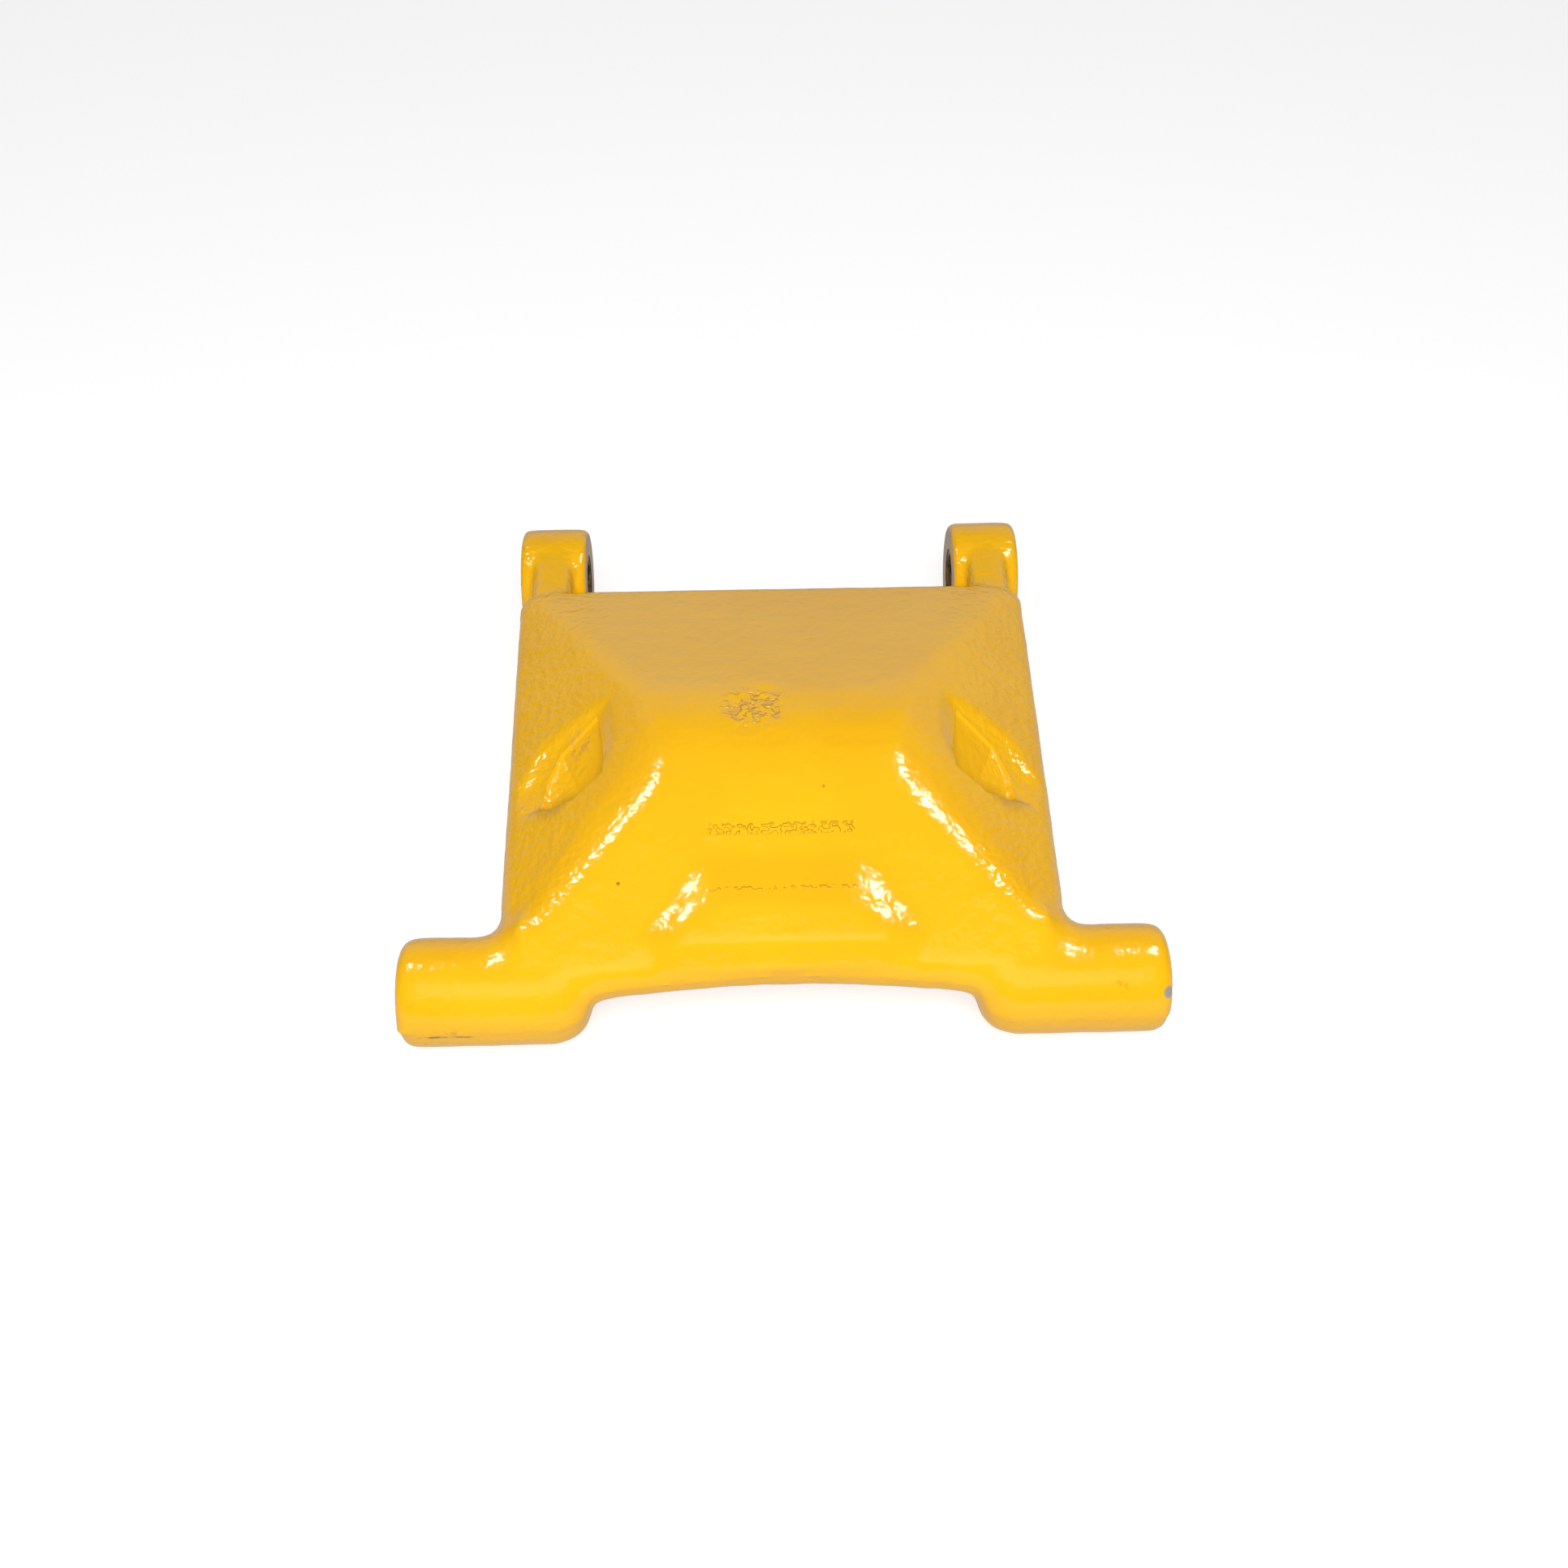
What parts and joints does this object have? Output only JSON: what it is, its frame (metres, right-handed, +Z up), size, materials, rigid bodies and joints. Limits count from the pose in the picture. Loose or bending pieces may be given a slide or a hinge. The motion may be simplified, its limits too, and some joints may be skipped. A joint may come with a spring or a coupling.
{
  "type": "lifting linkage crossbeam",
  "caption": "Cast, crowned crossbeam of a lifting linkage with two rear ears and two front pin bosses, bushed, sealed and greased.",
  "frame": {"origin": "on the ground plane under the middle of the whole part", "axes": "+X along both pin axes, +Y from the front bosses to the ears, +Z up with the crown on top"},
  "size_m": [0.35, 0.368, 0.101],
  "materials": {
    "cast_paint": "thick glossy enamel over a cast surface",
    "bush_metal": "dark greased bearing bronze",
    "seal_rubber": "matt black",
    "nipple_zinc": "zinc plated",
    "ball_steel": "polished",
    "spring_steel": "drawn wire"
  },
  "bodies": {
    "crossbeam": {"link_casting": "cast_paint", "ear_bush_left": "bush_metal", "boss_bush_outer_left": "bush_metal", "boss_bush_inner_left": "bush_metal", "dust_seal_left": "seal_rubber", "ear_bush_right": "bush_metal", "boss_bush_outer_right": "bush_metal", "boss_bush_inner_right": "bush_metal", "dust_seal_right": "seal_rubber", "nipple_body_ear_left": "nipple_zinc", "check_spring_ear_left": "spring_steel", "nipple_body_boss_left": "nipple_zinc", "check_spring_boss_left": "spring_steel", "nipple_body_ear_right": "nipple_zinc", "check_spring_ear_right": "spring_steel", "nipple_body_boss_right": "nipple_zinc", "check_spring_boss_right": "spring_steel"},
    "ball_ear_left": {"check_ball_ear_left": "ball_steel"},
    "ball_boss_left": {"check_ball_boss_left": "ball_steel"},
    "ball_ear_right": {"check_ball_ear_right": "ball_steel"},
    "ball_boss_right": {"check_ball_boss_right": "ball_steel"}
  },
  "joints": [
    {"name": "check_ball_lift_ear_left", "type": "slide", "parent": "crossbeam", "child": "ball_ear_left", "axis": [0, -0.7314, 0.682], "range_m": [0, 0.001], "stiffness_N_per_m": 200, "deforming": ["check_spring_ear_left"]},
    {"name": "check_ball_lift_boss_left", "type": "slide", "parent": "crossbeam", "child": "ball_boss_left", "axis": [0, -0.9272, 0.3746], "range_m": [0, 0.001], "stiffness_N_per_m": 200, "deforming": ["check_spring_boss_left"]},
    {"name": "check_ball_lift_ear_right", "type": "slide", "parent": "crossbeam", "child": "ball_ear_right", "axis": [0, -0.7314, 0.682], "range_m": [0, 0.001], "stiffness_N_per_m": 200, "deforming": ["check_spring_ear_right"]},
    {"name": "check_ball_lift_boss_right", "type": "slide", "parent": "crossbeam", "child": "ball_boss_right", "axis": [0, -0.9272, 0.3746], "range_m": [0, 0.001], "stiffness_N_per_m": 200, "deforming": ["check_spring_boss_right"]}
  ]
}
